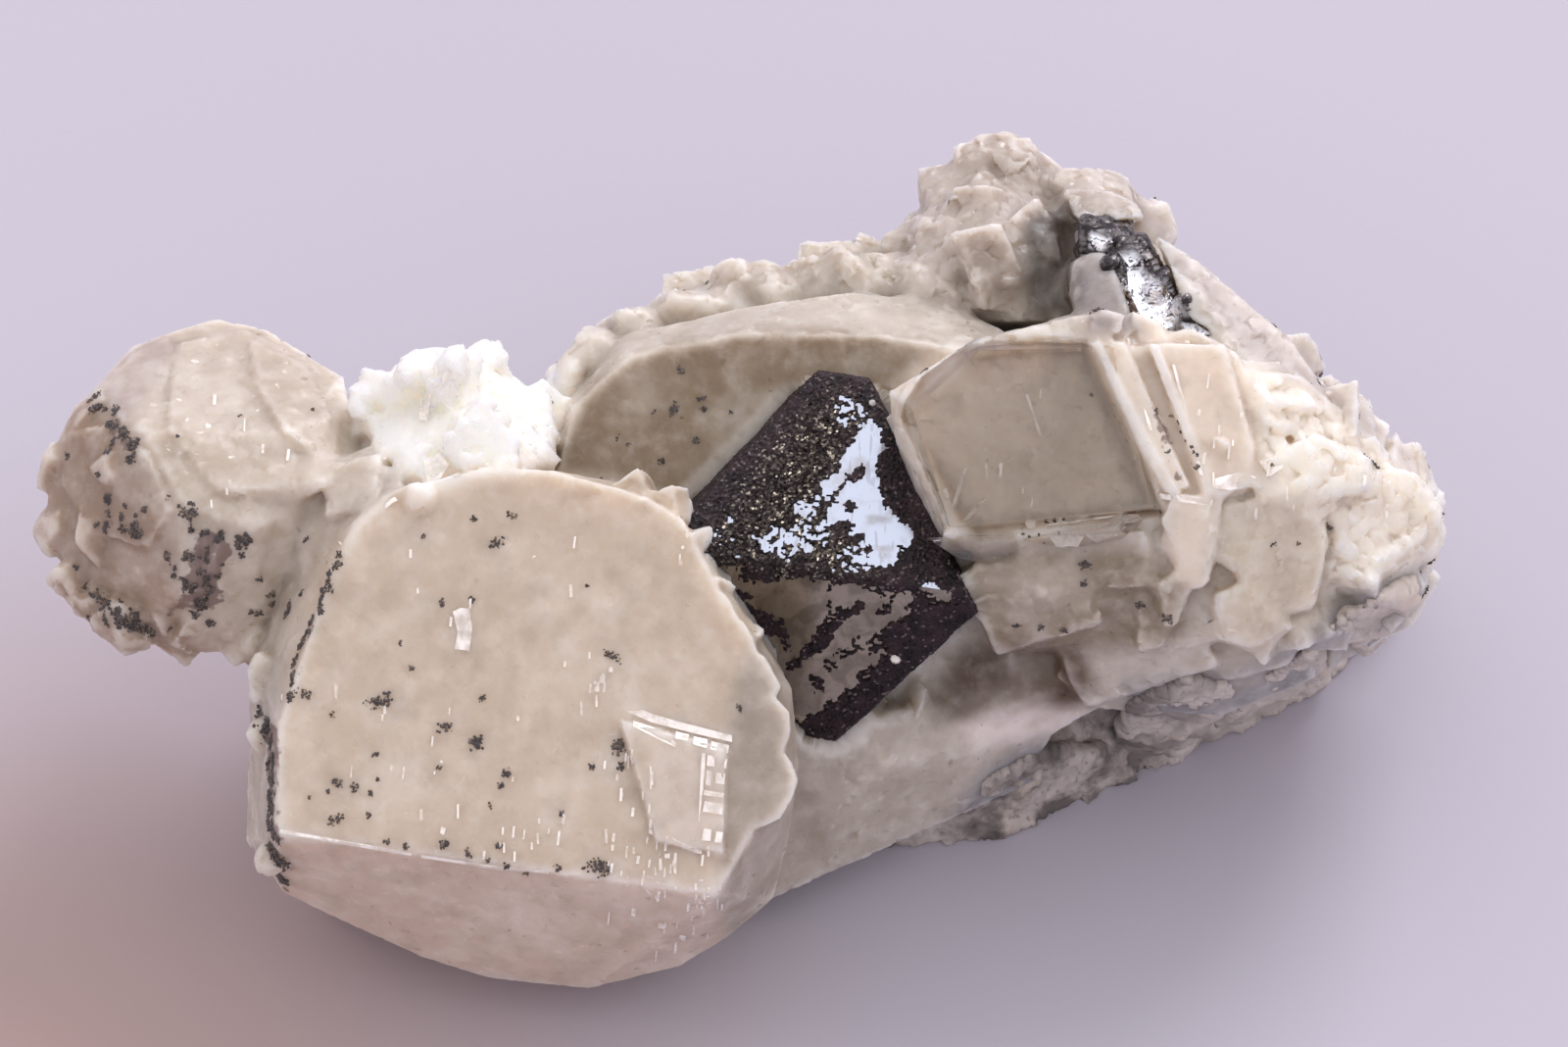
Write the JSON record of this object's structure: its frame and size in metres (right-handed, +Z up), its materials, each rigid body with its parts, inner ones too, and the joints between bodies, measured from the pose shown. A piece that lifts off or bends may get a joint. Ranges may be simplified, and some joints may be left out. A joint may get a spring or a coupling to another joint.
{
  "type": "carrollite specimen",
  "caption": "Mineral specimen: a steel-grey octahedral crystal set in a cluster of milky, partly clear calcite crystals on a wedge of grey rock, resting on a flat cut base.",
  "frame": {"origin": "middle of the plan box at the height of the flat cut base, so the specimen stands on Z = 0", "axes": "+X along the specimen's length, to the right as the octahedron is seen; +Y away from the viewer; +Z up"},
  "size_m": [0.045, 0.0284, 0.0192],
  "materials": {
    "calcite": "milky, waxy to glassy, with clear cleaved faces",
    "host_rock": "dull, fine-grained and layered",
    "carrollite": "bright metallic with a dark tarnish crust",
    "carrollite_seam": "bright metallic, crumbly"
  },
  "bodies": {
    "root": {"calcite_cluster": "calcite", "host_rock": "host_rock", "carrollite_crystal": "carrollite", "carrollite_seam": "carrollite_seam"}
  },
  "joints": []
}
